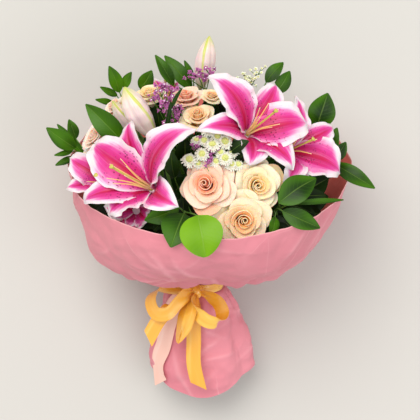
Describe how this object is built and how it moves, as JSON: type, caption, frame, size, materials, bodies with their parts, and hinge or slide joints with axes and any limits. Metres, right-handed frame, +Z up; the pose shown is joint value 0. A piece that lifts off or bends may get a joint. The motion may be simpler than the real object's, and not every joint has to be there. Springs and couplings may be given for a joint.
{
  "type": "mixed flower bouquet",
  "caption": "Hand-tied mixed bouquet of lilies, roses, small chrysanthemums, statice and foliage in pink wrapping paper with a satin bow, lying on its back.",
  "frame": {"origin": "middle of the bouquet's box, on the surface that it lies on", "axes": "+Y from the cut stems to the flowers, +X to the right as one looks down on its front, +Z up from the surface"},
  "size_m": [0.395, 0.4464, 0.3105],
  "materials": {
    "paper": "matte, softly crumpled",
    "twine": "matte",
    "gold_ribbon": "satin",
    "blush_ribbon": "satin",
    "lily_petal": "waxy, with white ruffled edges",
    "lily_heart": "waxy",
    "lily_bud": "waxy",
    "rose_cream": "velvety",
    "rose_peach": "velvety",
    "stem": "waxy",
    "leaf": "waxy",
    "daisy": "matte",
    "statice": "papery",
    "filler": "matte"
  },
  "bodies": {
    "root": {"bow": "gold_ribbon", "daisy_spray": "daisy", "filler_spray": "filler", "leaves_front": "leaf", "leaves_front_right": "leaf", "leaves_inner_left": "leaf", "leaves_inner_right": "leaf", "leaves_inner_top": "leaf", "leaves_left": "leaf", "leaves_left_top": "leaf", "leaves_left_wide": "leaf", "leaves_middle": "leaf", "leaves_right": "leaf", "leaves_right_top": "leaf", "leaves_top": "leaf", "leaves_top_left": "leaf", "lily_bud_left": "lily_bud", "lily_bud_left_small": "lily_bud", "lily_bud_top": "lily_bud", "lily_far_left_heart": "lily_heart", "lily_far_left_petals": "lily_petal", "lily_far_right_heart": "lily_heart", "lily_far_right_petals": "lily_petal", "lily_left_heart": "lily_heart", "lily_left_petals": "lily_petal", "lily_low_left_petals": "lily_petal", "lily_right_heart": "lily_heart", "lily_right_petals": "lily_petal", "lily_stem_far_left": "stem", "lily_stem_left": "stem", "lily_stem_right": "stem", "lily_stem_top": "stem", "lily_top_heart": "lily_heart", "lily_top_petals": "lily_petal", "pink_ribbon": "blush_ribbon", "rose_front_cream": "rose_cream", "rose_front_low": "rose_cream", "rose_front_peach": "rose_peach", "rose_left": "rose_peach", "rose_left_top": "rose_peach", "rose_stem_front_cream": "stem", "rose_stem_front_low": "stem", "rose_stem_front_peach": "stem", "rose_stem_left": "stem", "rose_stem_left_top": "stem", "rose_stem_top_back": "stem", "rose_stem_top_left": "stem", "rose_stem_top_middle": "stem", "rose_stem_top_right": "stem", "rose_top_back": "rose_peach", "rose_top_left": "rose_cream", "rose_top_middle": "rose_peach", "rose_top_right": "rose_peach", "statice_left": "statice", "statice_top": "statice", "twine_tie": "twine", "wrap_collar": "paper", "wrap_skirt": "paper"}
  },
  "joints": []
}
